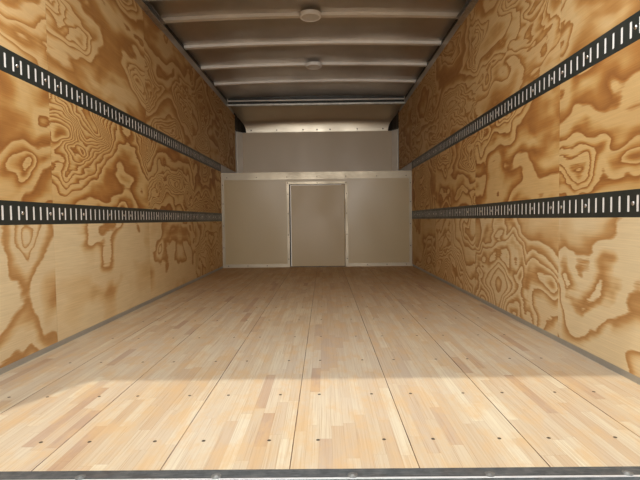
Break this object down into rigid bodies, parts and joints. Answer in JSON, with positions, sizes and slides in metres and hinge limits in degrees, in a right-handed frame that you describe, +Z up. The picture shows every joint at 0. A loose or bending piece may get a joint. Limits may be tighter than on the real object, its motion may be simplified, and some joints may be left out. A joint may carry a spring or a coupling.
{
  "type": "box truck cargo body with an attic",
  "caption": "Dry-freight cargo body of a box truck, taken off its chassis: plywood-lined hold, slotted cargo tracks, attic over the cab, open roll-up door and a pass-through door.",
  "frame": {"origin": "centre of the whole body's box, on the floor under the longsills", "axes": "+Z up, +Y forward to the cab, +X to the driver's right"},
  "size_m": [2.466, 6.254, 2.436],
  "materials": {
    "black_steel": "satin black paint on steel",
    "frame_steel": "dark undercoat",
    "floor_wood": "laminated hardwood, clear oiled",
    "weathered_steel": "worn steel",
    "white_paint": "gloss white",
    "rail_aluminium": "mill finish",
    "plywood": "rotary-cut pine, unpainted",
    "bulkhead_metal": "satin grey",
    "strip_aluminium": "mill finish",
    "attic_liner": "satin grey",
    "nose_liner": "mill finish",
    "roof_aluminium": "mill finish",
    "bow_steel": "galvanized",
    "lamp_lens": "translucent white",
    "door_panel": "satin white",
    "galvanized": "galvanized",
    "red_lens": "moulded lens",
    "amber_lens": "moulded lens",
    "clear_lens": "moulded lens"
  },
  "bodies": {
    "root": {"longsill_left": "frame_steel", "longsill_right": "frame_steel", "mounting_plates": "frame_steel", "crossmembers": "frame_steel", "floor_boards": "floor_wood", "rear_sill": "weathered_steel", "rear_post_left": "white_paint", "rear_post_right": "white_paint", "rear_header": "white_paint", "side_wall_left": "white_paint", "side_wall_right": "white_paint", "bottom_rail_left": "rail_aluminium", "bottom_rail_right": "rail_aluminium", "top_rail_left": "rail_aluminium", "top_rail_right": "rail_aluminium", "nose_rail_left": "rail_aluminium", "nose_rail_right": "rail_aluminium", "bulkhead": "bulkhead_metal", "bulkhead_frame": "strip_aluminium", "attic_floor": "plywood", "attic_front": "attic_liner", "attic_corners": "rail_aluminium", "nose_panel": "nose_liner", "roof_sheet": "roof_aluminium", "roof_bows": "bow_steel", "front_header": "bow_steel", "dome_lamps": "lamp_lens", "door_tracks": "galvanized", "roll_up_door": "door_panel", "counterbalance": "galvanized", "red_lamps": "red_lens", "amber_lamps": "amber_lens", "reverse_lamps": "clear_lens", "grab_handles": "galvanized", "plywood_left_lower": "plywood", "plywood_left_middle": "plywood", "plywood_left_upper": "plywood", "cargo_track_left_lower": "black_steel", "cargo_track_left_upper": "black_steel", "plywood_right_lower": "plywood", "plywood_right_middle": "plywood", "plywood_right_upper": "plywood", "cargo_track_right_lower": "black_steel", "cargo_track_right_upper": "black_steel"},
    "door": {"bulkhead_door": "bulkhead_metal"}
  },
  "joints": [
    {"name": "pass_through_door", "type": "hinge", "parent": "root", "child": "door", "pos_m": [0.345, 1.777, 0.718], "axis": [0, 0, 1], "range_deg": [0, 170]}
  ]
}
